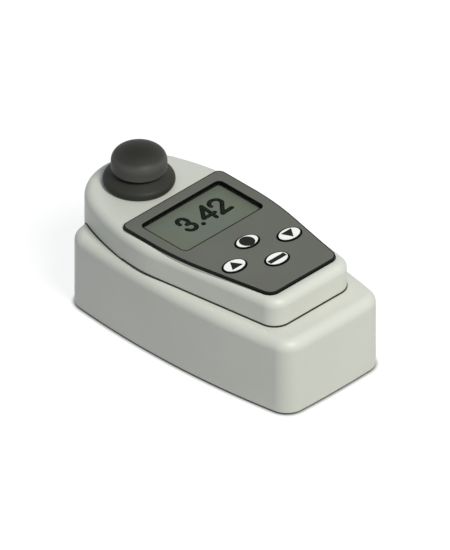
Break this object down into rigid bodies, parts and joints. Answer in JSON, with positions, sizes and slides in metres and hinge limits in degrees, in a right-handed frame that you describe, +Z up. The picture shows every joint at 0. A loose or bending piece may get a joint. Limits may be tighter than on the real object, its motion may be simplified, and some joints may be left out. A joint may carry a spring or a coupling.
{
  "type": "digital turbidimeter",
  "caption": "Portable turbidity meter with a stepped housing, oval keys, a numeric display and a domed light shield over its sample well.",
  "frame": {"origin": "under the middle of the housing, on the plane that the rubber feet stand on", "axes": "+Z up, -Y towards the user at the narrow front end with the keys, +X to the user's right"},
  "size_m": [0.0826, 0.1614, 0.0789],
  "materials": {
    "shell_grey": "fine satin moulding grain",
    "shell_top": "fine satin moulding grain",
    "panel_grey": "satin overlay",
    "key_white": "smooth satin",
    "knob_black": "satin",
    "inner_black": "matt black",
    "door_grey": "fine satin moulding grain",
    "seal_rubber": "matt",
    "foot_rubber": "matt",
    "clear_window": "clear",
    "lcd_glass": "grey-green reflective",
    "vial_glass": "clear",
    "ribbon_white": "flat flexible cable",
    "board_green": "solder resist",
    "chip_black": "moulded epoxy",
    "screw_steel": "zinc plated",
    "brass_plain": "plain turned",
    "contact_nickel": "nickel plated",
    "cell_wrap": "shrink sleeve",
    "led_clear": "clear epoxy",
    "lens_glass": "clear"
  },
  "bodies": {
    "housing": {"base_shell": "shell_grey", "upper_shell": "shell_top", "case_gasket": "seal_rubber", "keypad_panel": "panel_grey", "display_lens": "clear_window", "lcd_cell": "lcd_glass", "lcd_frame": "inner_black", "zebra_strips": "seal_rubber", "main_board": "board_green", "board_chips": "chip_black", "board_standoffs": "brass_plain", "board_screws": "screw_steel", "switch_housings": "inner_black", "switch_domes": "contact_nickel", "bottom_cover": "shell_grey", "cover_screws": "screw_steel", "case_screws": "screw_steel", "rubber_feet": "foot_rubber", "battery_tray": "inner_black", "battery_cells": "cell_wrap", "battery_springs": "contact_nickel", "battery_contacts": "contact_nickel", "sample_well": "inner_black", "well_gasket": "seal_rubber", "source_holder": "inner_black", "source_led": "led_clear", "collimating_lens": "lens_glass", "scatter_holder": "inner_black", "scatter_detector": "led_clear", "transmitted_holder": "inner_black", "transmitted_detector": "led_clear", "sensor_board": "board_green", "sensor_ribbon": "ribbon_white"},
    "vial": {"sample_vial": "vial_glass"},
    "cap_seal": {"cap_liner": "seal_rubber"},
    "cap": {"vial_cap": "knob_black"},
    "shield_ring": {"shield_seal": "seal_rubber"},
    "shield": {"light_shield": "knob_black"},
    "door": {"battery_door": "door_grey"},
    "rear_button": {"rear_key": "key_white", "rear_switch_stem": "key_white"},
    "right_button": {"right_key": "key_white", "right_switch_stem": "key_white"},
    "left_button": {"left_key": "key_white", "left_switch_stem": "key_white"},
    "front_button": {"front_key": "key_white", "front_switch_stem": "key_white"}
  },
  "joints": [
    {"name": "vial_lift", "type": "slide", "parent": "housing", "child": "vial", "axis": [0, 0, 1], "range_m": [0, 0.06]},
    {"name": "cap_rise", "type": "slide", "parent": "vial", "child": "cap_seal", "axis": [0, 0, 1], "range_m": [0, 0.003]},
    {"name": "cap_unscrew", "type": "hinge", "parent": "cap_seal", "child": "cap", "pos_m": [0, 0.0558, 0.03], "axis": [0, 0, 1], "range_deg": [0, 360]},
    {"name": "shield_lift", "type": "slide", "parent": "cap", "child": "shield_ring", "axis": [0, 0, 1], "range_m": [0, 0.04]},
    {"name": "shield_turn", "type": "hinge", "parent": "shield_ring", "child": "shield", "pos_m": [0, 0.0558, 0.03], "axis": [0, 0, 1], "continuous": true},
    {"name": "battery_door_slide", "type": "slide", "parent": "housing", "child": "door", "axis": [0, -1, 0], "range_m": [0, 0.005]},
    {"name": "rear_key_press", "type": "slide", "parent": "housing", "child": "rear_button", "axis": [0, 0, -1], "range_m": [0, 0.0007], "stiffness_N_per_m": 600, "springref_m": -0.0005},
    {"name": "right_key_press", "type": "slide", "parent": "housing", "child": "right_button", "axis": [0, 0, -1], "range_m": [0, 0.0007], "stiffness_N_per_m": 600, "springref_m": -0.0005},
    {"name": "left_key_press", "type": "slide", "parent": "housing", "child": "left_button", "axis": [0, 0, -1], "range_m": [0, 0.0007], "stiffness_N_per_m": 600, "springref_m": -0.0005},
    {"name": "front_key_press", "type": "slide", "parent": "housing", "child": "front_button", "axis": [0, 0, -1], "range_m": [0, 0.0007], "stiffness_N_per_m": 600, "springref_m": -0.0005}
  ],
  "couplings": [
    {"joint": "cap_unscrew", "follows": "cap_rise", "rad_per_m": 2094.4}
  ]
}
